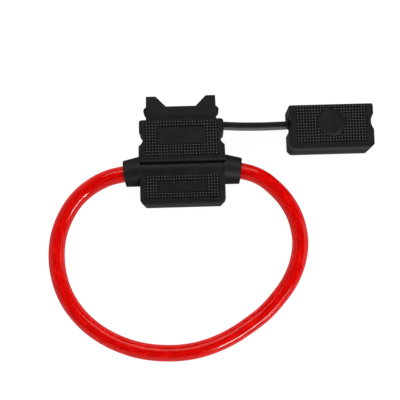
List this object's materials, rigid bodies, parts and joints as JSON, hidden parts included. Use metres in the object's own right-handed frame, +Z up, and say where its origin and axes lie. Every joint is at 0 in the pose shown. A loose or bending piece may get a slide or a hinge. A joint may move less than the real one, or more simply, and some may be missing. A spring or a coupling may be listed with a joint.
{
  "type": "inline fuse holder",
  "caption": "Soft moulded in-line holder for a large blade fuse, with a tethered cap, flag terminals and a loop of heavy red cable.",
  "frame": {"origin": "on the back face, under the middle of the upper panel, where the holder lies on the table", "axes": "+X along the cable's axis towards the tether and cap, +Y out of the socket's mouth, +Z up out of the table"},
  "size_m": [0.1573, 0.126, 0.0164],
  "materials": {
    "black_pvc": "soft moulded PVC, slightly glossy, with a fine pyramid grip texture",
    "terminal_brass": "stamped and folded sheet brass",
    "copper": "bare twisted copper strands",
    "red_pvc": "glossy translucent red PVC jacket over copper strands"
  },
  "bodies": {
    "holder": {"holder_body": "black_pvc", "terminal_left": "terminal_brass", "terminal_right": "terminal_brass", "copper_strands_left": "copper", "copper_strands_right": "copper", "jacket_end_left": "red_pvc", "jacket_end_right": "red_pvc", "cable_loop": "red_pvc"},
    "tether": {"tether": "black_pvc"},
    "cap": {"cap": "black_pvc"}
  },
  "joints": [
    {"name": "tether_bend", "type": "hinge", "parent": "holder", "child": "tether", "pos_m": [0.03015, 0.0073, 0.0082], "axis": [0, 0, 1], "range_deg": [0, 90], "deforming": ["tether"]},
    {"name": "cap_turn", "type": "hinge", "parent": "tether", "child": "cap", "pos_m": [0.04135, 0.0073, 0.0082], "axis": [0, 0, 1], "range_deg": [0, 90], "deforming": ["tether"]}
  ],
  "couplings": [
    {"joint": "cap_turn", "follows": "tether_bend", "ratio": 1}
  ]
}
